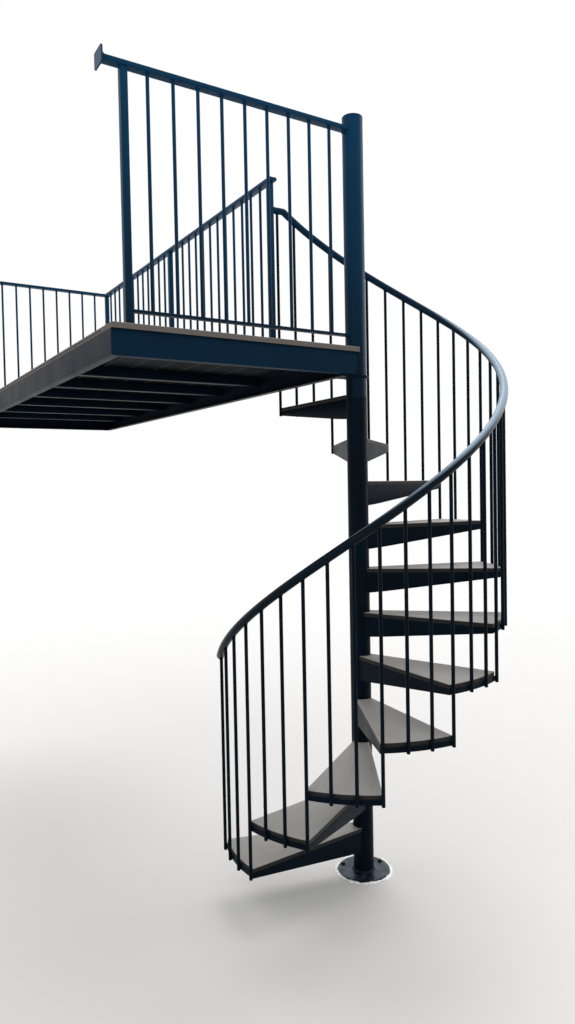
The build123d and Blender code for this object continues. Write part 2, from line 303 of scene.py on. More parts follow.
def capped_composite(add, edge, underside, gloss):
    """Capped composite board, extruded: a smooth taupe-grey cap with faint streaks along its length and a
    brushed grain of about 1 mm, and darker cut edges, darkened further on the treads as painted shade. Its dull
    underside is painted light: painted shade under the deck, painted sky reflection under the treads. The
    pattern follows the grain attribute, whose first coordinate runs along each board."""
    tones = colours()
    along = add("ShaderNodeAttribute", {"attribute_name": "grain"}, output="Vector")
    normal = add("ShaderNodeNewGeometry", output="Normal")
    height = add("ShaderNodeSeparateXYZ", links={"Vector": normal}, output="Z")
    # Streaks are about 20 mm wide and 600 mm long, and the bleached clouds 300 mm
    run = add("ShaderNodeMapping", {"Scale": (1.6, 50.0, 20.0)}, {"Vector": along})
    streaks = add("ShaderNodeTexNoise", {"Scale": 1.0, "Detail": 3.0}, {"Vector": run})
    share = add("ShaderNodeMapRange", {"From Min": 0.3, "From Max": 0.7}, {"Value": streaks})
    tone = add("ShaderNodeMix", {"data_type": "RGBA", 6: tones.board_dark, 7: tones.board_light},
               {0: share})
    cloud = add("ShaderNodeTexNoise", {"Scale": 3.2, "Detail": 4.0}, {"Vector": along})
    bleached = add("ShaderNodeMapRange", {"From Min": 0.35, "From Max": 0.75, "To Max": 0.6},
                   {"Value": cloud})
    # Upright faces take the edge colour, which on the treads holds painted shade as well
    side = add("ShaderNodeMapRange", {"From Min": 0.25, "From Max": 0.75, "To Min": 1.0, "To Max": 0.0},
               {"Value": height})
    # Faces that point down take the underside colour, painted light: painted shade under the deck, painted sky
    # reflection under the treads
    under = add("ShaderNodeMapRange", {"From Min": -0.75, "From Max": -0.4, "To Min": 1.0, "To Max": 0.0},
                {"Value": height})
    for cover, colour in ((bleached, tones.board_pale), (side, edge), (under, underside)):
        tone = add("ShaderNodeMix", {"data_type": "RGBA", 7: colour}, {0: cover, 6: tone})
    dull = add("ShaderNodeMapRange", {"From Min": 0.3, "From Max": 0.7, "To Min": 0.5, "To Max": 0.62},
               {"Value": cloud})
    comb = add("ShaderNodeMapping", {"Scale": (14.0, 900.0, 300.0)}, {"Vector": along})
    brushed = add("ShaderNodeTexNoise", {"Scale": 1.0, "Detail": 3.0}, {"Vector": comb})
    bump = add("ShaderNodeBump", {"Strength": 0.12, "Distance": 0.0003}, {"Height": brushed})
    return add("ShaderNodeBsdfPrincipled", {"IOR": 1.46, "Specular IOR Level": gloss},
               {"Base Color": tone, "Roughness": dull, "Normal": bump})


def black_oxide(add):
    """Black oxide on bolts, washers and screws: a thin dark bath finish, worn bright in spots of about
    4 mm where a wrench or driver has gripped it."""
    place = add("ShaderNodeTexCoord", output="Object")
    spots = add("ShaderNodeTexNoise", {"Scale": 260.0, "Detail": 4.0}, {"Vector": place})
    worn = add("ShaderNodeMapRange", {"From Min": 0.55, "From Max": 0.8, "To Max": 0.5}, {"Value": spots})
    tone = add("ShaderNodeMix", {"data_type": "RGBA", 6: linear("#16191c"), 7: linear("#6d6a66")},
               {0: worn})
    sheen = add("ShaderNodeMapRange", {"From Min": 0.3, "From Max": 0.7, "To Min": 0.32, "To Max": 0.5},
                {"Value": spots})
    return add("ShaderNodeBsdfPrincipled", {"Metallic": 0.6}, {"Base Color": tone, "Roughness": sheen})


def gun_sealant(add):
    """Silicone sealant run by hand round the base plate: white and soft, with lumps of about 6 mm and
    specks of grit from 8 mm down stuck in it."""
    place = add("ShaderNodeTexCoord", output="Object")
    grit = add("ShaderNodeTexNoise", {"Scale": 120.0, "Detail": 5.0}, {"Vector": place})
    dirty = add("ShaderNodeMapRange", {"From Min": 0.52, "From Max": 0.75, "To Max": 0.45}, {"Value": grit})
    tone = add("ShaderNodeMix", {"data_type": "RGBA", 6: colours().sealant, 7: linear("#8f897c")},
               {0: dirty})
    lumps = add("ShaderNodeTexNoise", {"Scale": 160.0, "Detail": 3.0}, {"Vector": place})
    bump = add("ShaderNodeBump", {"Strength": 0.5, "Distance": 0.0015}, {"Height": lumps})
    return add("ShaderNodeBsdfPrincipled", {"Roughness": 0.5}, {"Base Color": tone, "Normal": bump})


# Surfaces: each function returns points and faces, worked out as whole arrays
def grid_faces(rows, columns, round_rows=False, round_columns=False):
    """Four-cornered faces between the neighbours of a grid, closed round where asked."""
    row = np.arange(rows if round_rows else rows - 1)
    column = np.arange(columns if round_columns else columns - 1)
    row, column = (part.ravel() for part in np.meshgrid(row, column, indexing="ij"))
    below, beside = (row + 1) % rows, (column + 1) % columns
    return np.stack([row * columns + column, row * columns + beside,
                     below * columns + beside, below * columns + column], 1)


def tube_faces(rows, count, closed=False):
    """Faces of a tube of closed rings, which meets its own start or has a flat face at each end."""
    faces = grid_faces(rows, count, closed, True).tolist()
    if not closed:
        last = (rows - 1) * count
        faces += [list(range(count))[::-1], list(range(last, last + count))]
    return faces


def full_turn(steps):
    """Angles spread evenly over one turn, its end left out."""
    return np.arange(steps) * 2 * pi / steps


def polar(turn, radius=1.0):
    """Points in plan at the angles t: (r cos t, r sin t)."""
    return np.stack([radius * np.cos(turn), radius * np.sin(turn)], -1)


def raised(flat, height=0.0):
    """Points in plan as points in space at one height."""
    return np.column_stack([flat, np.full(len(flat), height)])


def circle(radius, steps=20):
    """Counterclockwise circle round zero: (r cos t, r sin t)."""
    return polar(full_turn(steps), radius)


def ring_path(radius, height, centre=(0, 0), steps=120):
    """Level circle in space: centre + (r cos t, r sin t), at one height."""
    return raised(circle(radius, steps) + centre, height)


def upright(x, y, low, high, steps):
    """Vertical path of evenly spread points."""
    return np.linspace((x, y, low), (x, y, high), steps)


def run_along(path):
    """Distance from the path's start to each of its points: the sum of the steps before it."""
    return np.concatenate([[0], np.cumsum(np.linalg.norm(np.diff(path, axis=0), axis=1))])


def carried(profile, origins, across, up, closed=False):
    """A closed profile carried along a path: point(i, j) = origin(i) + a(j) across(i) + b(j) up(i).
    The profile runs counterclockwise, and across x up points along the path."""
    origins, across, up = (np.atleast_2d(part).astype(float) for part in (origins, across, up))
    stations = len(origins)
    profile = np.broadcast_to(profile, (stations,) + np.shape(profile)[-2:])
    across, up = np.broadcast_to(across, (stations, 3)), np.broadcast_to(up, (stations, 3))
    points = origins[:, None] + profile[..., :1] * across[:, None] + profile[..., 1:] * up[:, None]
    return points.reshape(-1, 3), tube_faces(stations, profile.shape[1], closed)


def turned(profile, segments=24, centre=(0, 0), closed=False, phase=0.0):
    """A profile of radius and height turned round a vertical axis: (r cos t, r sin t, z), t going
    clockwise, so that a profile that runs counterclockwise faces out. An open one gets flat ends."""
    radial = raised(polar(phase - full_turn(segments)))
    profile = np.array(profile, float)
    points = profile[None, :, :1] * radial[:, None] + profile[None, :, 1:] * Z + [*centre, 0]
    count = len(profile)
    faces = grid_faces(segments, count, True, closed).tolist()
    if not closed:
        faces.append([i * count for i in range(segments)])
        faces.append([i * count + count - 1 for i in range(segments)][::-1])
    return points.reshape(-1, 3), faces


def eased_rectangle(a0, a1, b0, b1, radius, steps=3):
    """Counterclockwise rectangle whose corners are quarter circles."""
    swing = np.linspace(0, pi / 2, steps + 1)
    corners = [(a1 - radius, b0 + radius, -pi / 2), (a1 - radius, b1 - radius, 0),
               (a0 + radius, b1 - radius, pi / 2), (a0 + radius, b0 + radius, pi)]
    return np.concatenate([polar(swing + turn, radius) + (a, b) for a, b, turn in corners])


def inset(outline, depth):
    """A counterclockwise outline moved in by depth, square to its sides, with mitred corners."""
    ahead = np.roll(outline, -1, 0) - outline
    ahead /= np.linalg.norm(ahead, axis=1)[:, None]
    behind = np.roll(ahead, 1, 0)
    middle = ahead + behind
    middle /= np.linalg.norm(middle, axis=1)[:, None]
    sharpest = 0.35
    stretch = np.clip((middle * ahead).sum(1), sharpest, 1)
    return outline + depth * np.stack([-middle[:, 1], middle[:, 0]], 1) / stretch[:, None]


def slab(outline, low, high, ease_low=0.001, ease_high=BOARD_EASE):
    """A flat piece of an outline's shape whose rims are quarter circles: height and inset follow
    the same angle."""
    swing = np.linspace(0, pi / 2, 4)
    levels = [(low + ease_low * (1 - sin(t)), ease_low * (1 - cos(t))) for t in swing[::-1]]
    levels += [(high - ease_high * (1 - sin(t)), ease_high * (1 - cos(t))) for t in swing]
    rings = [raised(inset(outline, depth), height) for height, depth in levels]
    return np.concatenate(rings), tube_faces(len(levels), len(outline))


def bar(start, stop, profile, ease=0.0):
    """A straight bar: its profile, drawn as across and up, carried from start to stop, its ends
    drawn in by ease."""
    start, stop = np.array(start, float), np.array(stop, float)
    ahead = (stop - start) / np.linalg.norm(stop - start)
    across = np.array([1.0, 0, 0]) if abs(ahead[2]) > 0.9 else np.cross(Z, ahead)
    up = np.cross(ahead, across)
    if not ease:
        return carried(profile, [start, stop], across, up)
    profiles = [inset(profile, ease), profile, profile, inset(profile, ease)]
    return carried(profiles, [start, start + ease * ahead, stop - ease * ahead, stop], across, up)


def bead(path, radius, closed=False, ripple=0.004, sides=8):
    """A weld bead: a round tube along a path. Its radius swells by an eighth at each ripple, and by half
    as much over about three ripples, both as sines of the run."""
    path = np.array(path, float)
    ahead = np.roll(path, -1, 0) - np.roll(path, 1, 0) if closed else np.gradient(path, axis=0)
    ahead /= np.linalg.norm(ahead, axis=1)[:, None]
    guide = np.where(np.abs(ahead[:, 2:]) > 0.9, [[1.0, 0, 0]], [[0, 0, 1.0]])
    across = np.cross(guide, ahead)
    across /= np.linalg.norm(across, axis=1)[:, None]
    up = np.cross(ahead, across)
    wave = 2 * pi * run_along(path) / ripple
    swell = radius * (1 + 0.12 * np.sin(wave) + 0.06 * np.sin(wave / 3.1))
    return carried(circle(1, sides)[None] * swell[:, None, None], path, across, up, closed)


def spun(patch, turn, lift=0.0):
    """A patch turned round the column's axis and lifted."""
    points, faces = patch
    spin = np.array([[cos(turn), -sin(turn), 0], [sin(turn), cos(turn), 0], [0, 0, 1]])
    return points @ spin.T + [0, 0, lift], faces


def shifted(patch, offset):
    """A patch moved by an offset."""
    return patch[0] + np.array(offset), patch[1]


def laid(patch, origin):
    """A patch made along +Z and laid along +X from an origin: (x, y, z) becomes (z, y, -x)."""
    return patch[0][:, [2, 1, 0]] * [1, 1, -1] + np.array(origin), patch[1]


def mirrored(patch):
    """A patch mirrored across the plane y = 0, with its faces turned round again."""
    return patch[0] * [1, -1, 1], [face[::-1] for face in patch[1]]


def joined(patches):
    """One patch of many: their points in a row, their faces renumbered."""
    points, faces, base = [], [], 0
    for part_points, part_faces in patches:
        points.append(part_points)
        faces += [[base + i for i in face] for face in part_faces]
        base += len(part_points)
    return np.concatenate(points), faces


def piece(name, patches, material, grain=None):
    """Makes one object of the patches, smooth except at edges over 35 degrees, riding on the frame."""
    points, faces = joined(patches)
    mesh = bpy.data.meshes.new(name)
    mesh.from_pydata(points.tolist(), [], faces)
    mesh.polygons.foreach_set("use_smooth", np.ones(len(mesh.polygons), bool))
    mesh.set_sharp_from_angle(angle=radians(35))
    if grain is not None:
        layer = mesh.attributes.new("grain", "FLOAT_VECTOR", "POINT")
        layer.data.foreach_set("vector", np.asarray(grain, np.float32).ravel())
    mesh.materials.append(material)
    mesh.validate()
    item = bpy.data.objects.new(name, mesh)
    bpy.context.scene.collection.objects.link(item)
    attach(item, "root")
    return item


def dressed(node, patches, material, grain=None):
    """Makes the piece that stands for a node of the frame."""
    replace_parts(piece("dressed_" + node, patches, material, grain), node)


def hex_head(width, height, washer):
    """A washer and a hex head with its corners taken off, standing on z = 0: profiles turned in 28 and in
    6 steps."""
    corner = width / 2 / cos(pi / 6)
    hole, rounding, shoulder, crown = 0.002, 0.0005, 0.82, 0.86
    rim = [(hole, 0), (washer - 0.0004, 0), (washer, rounding), (washer, WASHER - rounding),
           (washer - rounding, WASHER), (hole, WASHER)]
    head = [(corner, WASHER), (corner, WASHER + height * shoulder), (corner * crown, WASHER + height)]
    return joined([turned(rim, 28), turned(head, 6, phase=pi / 6)])


def tread_turn(number):
    """Angle of a tread's front corner."""
    part = sizes()
    return part.first_turn + (number - 1) * part.tread_angle


def tread_top(number):
    """Height of a tread: the first riser, then one riser a tread."""
    return FIRST_RISER + (number - 1) * RISER


def rail_centre(turn):
    """Height of the handrail's centre over an angle: one riser a tread, and the square of the share
    of its last three and a half treads for what it gains there."""
    part = sizes()
    steps = (turn - tread_turn(1)) / part.tread_angle
    late = np.clip((steps - TREADS + 3.5) / 3.5, 0, 1)
    return FIRST_RISER + part.rail_height + RISER * steps + part.rail_gain * late ** 2


def sealant_ring(rim):
    """An oval section carried round the base plate's rim. Its path wanders and its size swells with sums
    of sines of the angle, as a bead does that is run by hand, and the floor cuts it off level."""
    turn = full_turn(260)
    wander = 0.0022 * np.sin(5 * turn + 1) + 0.0016 * np.sin(13 * turn) + 0.0009 * np.sin(37 * turn)
    squeeze = 1 + 0.3 * np.sin(9 * turn) + 0.16 * np.sin(23 * turn + 2)
    path = raised(polar(turn, rim + 0.0055 + wander), 0.002)
    section = circle(1, 12) * [0.0085, 0.0042]
    points, faces = carried(section[None] * squeeze[::-1, None, None], path[::-1],
                            raised(polar(turn))[::-1], Z, True)
    points[:, 2] = np.maximum(points[:, 2], 0.0002)
    return points, faces


class STAIR_OT_foot(bpy.types.Operator):
    """Anchor bolts, the weld round the column's foot and the sealant bead"""
    bl_idname = "stair.foot"
    bl_label = "Column foot"

    def execute(self, context):
        part = sizes()
        rim, _, top = node_box("base_plate")[1]
        bolts = []
        for i in range(3):
            spot = polar(part.bolt_turn + i * 2 * pi / 3, part.bolt_circle / 2)
            # Each head has stopped at an angle of its own
            bolts.append(shifted(spun(hex_head(*ANCHOR_BOLT), 0.4 + 1.1 * i), (*spot, top)))
        piece("anchor_bolts", bolts, finish("black_oxide_steel", black_oxide))
        seam = ring_path(COLUMN_RADIUS + 0.0018, top + 0.002, steps=240)
        piece("foot_weld", [bead(seam, FOOT_WELD, True, 0.009, 10)], coat("pooled"))
        piece("sealant_bead", [sealant_ring(rim)], finish("silicone_sealant", gun_sealant))
        return {"FINISHED"}


def frame_template():
    """Side plates, outer band and welds of one tread along +X, its top at z = 0. A plate's depth falls
    in a straight line from the hub to the band."""
    part = sizes()
    half = part.tread_span / 2
    corner = polar(half, part.tread_radius)
    start = np.array([0.0, part.hub_width])
    reach = np.linalg.norm(corner - start)
    ahead = (corner - start) / reach
    outward = np.array([-ahead[1], ahead[0]])

    def meets(radius, shift):
        """Run along the plate at which its face, moved in by shift, leaves a circle round the axis."""
        point = start - outward * shift
        along, square = point @ ahead, point @ point
        return -along + sqrt(along ** 2 - square + radius ** 2)

    # The plates begin 4 mm inside the sleeve's surface
    first = meets(COLUMN_RADIUS - 0.004, 0)
    runs = np.concatenate([[first], np.linspace(first + 0.002, reach, 8)])
    places = start + runs[:, None] * ahead
    fall = np.clip((places[:, 0] - COLUMN_RADIUS) / (part.tread_radius - COLUMN_RADIUS), 0, 1)
    depth = part.hub_depth + (part.band_depth - part.hub_depth) * fall
    section = np.array([eased_rectangle(-part.plate_width, 0, -d, 0, PLATE_EASE, 2) for d in depth])
    plate = carried(section, raised(places), [*outward, 0], Z)
    swing = np.linspace(half, -half, 29)
    outer = part.tread_radius + part.band_lip
    section = eased_rectangle(outer - part.band_width, outer, -part.band_depth, 0, PLATE_EASE, 2)
    band = carried(section, np.zeros((len(swing), 3)), raised(polar(swing)), Z)
    patches = [plate, mirrored(plate), band]
    for shift in (-0.0008, part.plate_width + 0.0008):
        x, y = start - outward * shift + meets(COLUMN_RADIUS + 0.0006, shift) * ahead
        weld = bead(upright(x, y, -part.hub_depth + 0.001, -0.0015, 44), HUB_WELD, ripple=0.005)
        patches += [weld, mirrored(weld)]
    x, y = corner - outward * (part.plate_width + 0.001) - ahead * 0.0045
    weld = bead(upright(x, y, -part.band_depth + 0.002, -0.001, 12), BAND_WELD)
    return joined(patches + [weld, mirrored(weld)])


def sleeve(low, high, ease=0.0011):
    """A tube of the column whose outer rims are chamfered, so that two of them show a fine V groove."""
    inner = COLUMN_RADIUS - SLEEVE_WALL
    profile = [(inner, low), (COLUMN_RADIUS - ease, low), (COLUMN_RADIUS, low + ease),
               (COLUMN_RADIUS, high - ease), (COLUMN_RADIUS - ease, high), (inner, high)]
    return turned(profile, 56, closed=True)


class STAIR_OT_tread_frames(bpy.types.Operator):
    """Hub sleeves, tapered side plates, outer bands and their welds"""
    bl_idname = "stair.tread_frames"
    bl_label = "Tread frames"

    def execute(self, context):
        part = sizes()
        template = frame_template()
        for number in range(1, TREADS + 1):
            name = "tread_frame_%02d" % number
            low, high = node_box(name)
            arms = spun(template, tread_turn(number) + part.tread_span / 2, high[2])
            dressed(name, [arms, sleeve(low[2], high[2])], coat("shaded"))
        return {"FINISHED"}


def board_outline():
    """Plan of a tread board along +X: two straight edges, the outer arc and the hollow round the column,
    which begins where the line y = w + s x meets the circle x2 + y2 = r2."""
    part = sizes()
    half = part.tread_span / 2
    corner_x, corner_y = polar(half, part.tread_radius)
    slope = (corner_y - part.hub_width) / corner_x
    radius = COLUMN_RADIUS + BOARD_CLEARANCE
    a, b, c = 1 + slope ** 2, slope * part.hub_width, part.hub_width ** 2 - radius ** 2
    notch_x = (-b + sqrt(b * b - a * c)) / a
    notch = np.arctan2(part.hub_width + slope * notch_x, notch_x)
    runs = np.linspace(notch_x, corner_x, 12)
    edge = np.stack([runs, part.hub_width + slope * runs], 1)
    arc = np.linspace(-half, half, 32)[1:-1]
    bite = np.linspace(notch, -notch, 12)[1:-1]
    return np.concatenate([edge * [1, -1], polar(arc, part.tread_radius), edge[::-1], polar(bite, radius)])


class STAIR_OT_tread_boards(bpy.types.Operator):
    """Wedge-shaped composite boards with eased edges"""
    bl_idname = "stair.tread_boards"
    bl_label = "Tread boards"

    def execute(self, context):
        part, tones = sizes(), colours()
        template = slab(board_outline(), -BOARD_THICKNESS, 0)
        material = finish("capped_composite_tread", capped_composite,
                          tones.tread_edge_and_shade, tones.tread_under_painted_reflection, 0.2)
        for number in range(1, TREADS + 1):
            board = spun(template, tread_turn(number) + part.tread_span / 2, tread_top(number))
            grain = template[0] + TREAD_GRAIN * number
            dressed("tread_board_%02d" % number, [board], material, grain)
        return {"FINISHED"}


def rail_path():
    """Centre line of the handrail: a helix, a bend in a vertical plane where it reaches its level, and
    a level end along the tangent. Gives origins, directions off the column, and directions of travel."""
    part = sizes()
    radius = part.tread_radius + part.band_lip + part.bar_radius + part.rail_out
    level, steps, bend_steps = DECK_TOP + part.rail_level, 170, 8
    first = tread_turn(1) + part.bar_lead - part.rail_lead
    turn = np.linspace(first, tread_turn(TREADS + 1), steps)
    lean = np.arctan(np.gradient(rail_centre(turn), turn) / radius)
    stop = np.interp(level, rail_centre(turn) + part.rail_bend * (1 - np.cos(lean)), turn)
    turn = np.linspace(first, stop, steps)
    slope = np.gradient(rail_centre(turn), turn) / radius
    helix = np.column_stack([polar(turn, radius), rail_centre(turn)])
    ahead = np.stack([-np.sin(turn), np.cos(turn), slope], 1) / np.sqrt(1 + slope[:, None] ** 2)
    outward = raised(polar(turn))
    lean = atan(slope[-1])
    fall = lean * (1 - np.arange(1, bend_steps + 1) / bend_steps)
    flat = np.array([-sin(stop), cos(stop), 0])
    run, rise = sin(lean) - np.sin(fall), np.cos(fall) - cos(lean)
    bend = helix[-1] + part.rail_bend * (run[:, None] * flat + rise[:, None] * Z)
    bend_ahead = np.cos(fall)[:, None] * flat + np.sin(fall)[:, None] * Z
    end = bend[-1] + flat * (CORNER_POST[1][0] - bend[-1][0]) / flat[0]
    origins = np.concatenate([helix, bend, [end]])
    ahead = np.concatenate([ahead, bend_ahead, [flat]])
    outward = np.concatenate([outward, np.tile(outward[-1], (bend_steps + 1, 1))])
    return origins, outward, ahead


class STAIR_OT_handrail(bpy.types.Operator):
    """Helical tube with a domed lower end, welded to the corner post"""
    bl_idname = "stair.handrail"
    bl_label = "Handrail"

    def execute(self, context):
        part = sizes()
        origins, outward, ahead = rail_path()
        stop = origins[-1]
        # The dome is a quarter circle, and takes the place of the helix's first points
        dome_steps, skipped = 7, 3
        swell = np.linspace(0.12, pi / 2, dome_steps)
        dome = origins[0] + part.rail_radius * (1 - np.cos(swell))[:, None] * ahead[0]
        scale = np.concatenate([np.sin(swell), np.ones(len(origins) - skipped)])
        centres = np.concatenate([dome, origins[skipped:]])
        outward, ahead = (np.concatenate([np.tile(way[0], (dome_steps, 1)), way[skipped:]])
                          for way in (outward, ahead))
        section = circle(part.rail_radius, 32)[None] * scale[:, None, None]
        patches = [carried(section, centres, outward, np.cross(ahead, outward))]
        # Its weld shows above and below the tube, as wide as the post's face
        around = stop + np.column_stack([np.full(90, 0.0012), circle(part.rail_radius + 0.0002, 90)])
        keep = np.abs(around[:, 1] - (CORNER_POST[0][1] + CORNER_POST[1][1]) / 2) < part.post_width / 2
        for side in (around[:, 2] > stop[2], around[:, 2] < stop[2]):
            patches.append(bead(around[keep & side], HANDRAIL_WELD, ripple=0.005))
        dressed("handrail", patches, coat("handled"))
        return {"FINISHED"}


def round_bar(x, y, low, high, ease=0.0):
    """A round vertical bar, its foot chamfered by ease."""
    radius = sizes().bar_radius
    foot = [(radius - ease, low), (radius, low + ease)] if ease else [(radius, low)]
    return turned(foot + [(radius, high)], 20, (x, y))


def stair_bars(number):
    """Bars along one tread, as (angle, foot height, heights of the bands that they are welded to)."""
    part = sizes()
    band_top = tread_top(number) - BOARD_THICKNESS
    drop = part.band_depth + part.bar_drop
    found = []
    for i in range(part.bars_per_tread):
        turn = tread_turn(number) + part.bar_lead + i * part.tread_angle / part.bars_per_tread
        bands = [band_top, band_top - RISER] if i == 0 and number > 1 else [band_top]
        found.append((turn, bands[-1] - drop, bands))
    if number == TREADS:
        found.append((tread_turn(number + 1) + part.bar_lead, band_top - drop, [band_top]))
    return found


class STAIR_OT_balusters(bpy.types.Operator):
    """Round stair balusters with their welds at bands and handrail"""
    bl_idname = "stair.balusters"
    bl_label = "Stair balusters"

    def execute(self, context):
        part = sizes()
        radius = part.tread_radius + part.band_lip + part.bar_radius
        origins, _, ahead = rail_path()
        groups = {"lower": range(1, 5), "middle": range(5, 9), "upper": range(9, TREADS + 1)}
        for name, numbers in groups.items():
            patches = []
            for turn, foot, bands in [found for number in numbers for found in stair_bars(number)]:
                spot = polar(turn, radius)
                near = np.argmin(np.hypot(*(origins[:, :2] - spot).T))
                top = min(rail_centre(turn), origins[-1][2])
                # The bar ends inside the tube
                patches.append(round_bar(*spot, foot, top - 0.006, BAR_EASE))
                loop = self.head_loop(spot, spot / radius, ahead[near], top)
                patches.append(bead(loop, BAR_HEAD_WELD, True, 0.005, 6))
                for band in bands:
                    for beside in (-0.0062, 0.0062):
                        x, y = polar(turn + beside / radius, radius - part.bar_radius + 0.0009)
                        run = upright(x, y, band - part.band_depth + 0.002, band - 0.002, 9)
                        patches.append(bead(run, BAR_WELD, sides=6))
            dressed("stair_balusters_" + name, patches, coat("shaded"))
        return {"FINISHED"}

    def head_loop(self, spot, outward, ahead, top):
        """Circle round a bar, lifted to the underside of the sloping handrail: its height is the tube's
        lowest line, plus the tilt times the run, plus the rise of the tube's own circle to the sides."""
        part = sizes()
        flat = hypot(*ahead[:2])
        tilt = ahead[2] / flat
        loop = ring_path(part.bar_radius + 0.0006, 0.0, spot, 28)
        along, side = (loop[:, :2] - spot) @ (ahead[:2] / flat), (loop[:, :2] - spot) @ outward
        widest = part.rail_radius - 0.001
        off = np.clip(side - part.rail_out, -widest, widest)
        curve = part.rail_radius - np.sqrt(part.rail_radius ** 2 - off ** 2)
        loop[:, 2] = top - part.rail_radius * sqrt(1 + tilt ** 2) + 0.0006 + tilt * along + curve
        return loop


class STAIR_OT_column(bpy.types.Operator):
    """Upper sleeve, flat cap with its weld, and the bracket's weld"""
    bl_idname = "stair.column"
    bl_label = "Column"

    def execute(self, context):
        dressed("upper_sleeve", [sleeve(SLEEVE[0][2], SLEEVE[1][2], 0.0008)], coat("smooth"))
        under, top = (corner[2] for corner in node_box("column_cap"))
        rim, ease, knee = COLUMN_RADIUS - 0.0004, 0.0022, 0.0007
        profile = [(rim, under), (rim, top - ease), (rim - knee, top - knee), (rim - ease, top), (0.006, top)]
        dressed("column_cap", [turned(profile, 56)], coat("smooth"))
        bracket = node_box("column_bracket")[0][2] - 0.0005
        seams = [bead(ring_path(COLUMN_RADIUS + 0.001, bracket, steps=200), BRACKET_WELD, True, 0.006),
                 bead(ring_path(COLUMN_RADIUS - 0.0012, under, steps=200), CAP_WELD, True, 0.006)]
        piece("column_welds", seams, coat("painted_sunlit"))
        return {"FINISHED"}


def channel_section(depth):
    """A channel's outline, counterclockwise from its heel: a is the way in from the web's face and b the
    height. Root and toe radii are quarter circles."""
    part = sizes()
    flange, web, thick = part.flange_width, part.web_width, part.flange_depth
    swing = np.linspace(0, pi / 2, 5)
    root, toe, heel = 0.006, 0.003, 0.0015

    def arc(a, b, radius, turn, way=1):
        """Quarter circle about (a, b) from an angle, turning one way or the other."""
        return polar(turn + way * swing, radius) + (a, b)

    half = depth / 2
    return np.concatenate([arc(heel, -half + heel, heel, pi), [(flange, -half)],
                           arc(flange - toe, -half + thick - toe, toe, 0),
                           arc(web + root, -half + thick + root, root, -pi / 2, -1),
                           arc(web + root, half - thick - root, root, pi, -1),
                           arc(flange - toe, half - thick + toe, toe, -pi / 2),
                           [(flange, half)], arc(heel, half - heel, heel, pi / 2)])


class STAIR_OT_landing_frame(bpy.types.Operator):
    """Four mitred channels of the landing with corner welds and wall bolts"""
    bl_idname = "stair.landing_frame"
    bl_label = "Landing frame"

    def execute(self, context):
        (x0, y0, z0), (x1, y1, z1) = node_box("near_channel")[0], node_box("far_channel")[1]
        middle = (z1 + z0) / 2
        corners = np.array([(x0, y0), (x1, y0), (x1, y1), (x0, y1)])
        section = channel_section(z1 - z0)
        faces = [face[::-1] for face in tube_faces(2, len(section))]
        first_bolt, bolt_pitch, bolt_gauge = 0.3, 0.48, 0.022
        for i, name in enumerate(("near_channel", "side_channel", "far_channel", "wall_ledger")):
            start, stop = corners[i], corners[(i + 1) % 4]
            ahead = (stop - start) / np.linalg.norm(stop - start)
            inward = np.array([-ahead[1], ahead[0]])
            ends = []
            for origin, way in ((start, 1), (stop, -1)):
                flat = origin + section[:, :1] * (inward + way * ahead)
                ends.append(np.column_stack([flat, middle + section[:, 1]]))
            patches = [(np.concatenate(ends), faces)]
            if name == "wall_ledger":
                for y in np.arange(y0 + first_bolt, y1, bolt_pitch):
                    for z in (middle - bolt_gauge, middle + bolt_gauge):
                        patches.append(laid(hex_head(*LEDGER_BOLT), (x0 + sizes().web_width, y, z)))
            # The near channel takes the painted sunlit grade, with more painted sky reflection than the shaded
            # grade of the others
            dressed(name, patches, coat("painted_sunlit" if name == "near_channel" else "shaded"))
        seams = []
        for x, y in corners:
            # The seams beside the wall stay clear of its face
            x += 0.0022 if x == x0 else 0
            seams.append(bead(upright(x, y, z0 + 0.002, z1 - 0.002, 60), CORNER_WELD))
        piece("frame_welds", seams, coat("painted_sunlit"))
        return {"FINISHED"}


class STAIR_OT_joists(bpy.types.Operator):
    """Square joists whose ends are notched under the flanges of the channels"""
    bl_idname = "stair.joists"
    bl_label = "Joists"

    def execute(self, context):
        part = sizes()
        (x0, y0, z0), (x1, y1, z1) = node_box("joists")
        half, notch, ease = part.joist_width / 2, part.flange_width - part.web_width, 0.004
        body = eased_rectangle(-half, half, 0, z1 - z0, ease)
        tongue = eased_rectangle(-half + 0.0002, half - 0.0002, 0, z1 - z0 - part.flange_depth, ease)
        runs = [(x0 + notch, x1 - notch, body), (x0, x0 + notch, tongue), (x1 - notch, x1, tongue)]
        lines = [y0 + half, *np.arange(y1 - half, y0 + part.joist_pitch, -part.joist_pitch)]
        patches = [bar((start, y, z0), (stop, y, z0), section)
                   for y in lines for start, stop, section in runs]
        dressed("joists", patches, coat("shaded"))
        return {"FINISHED"}


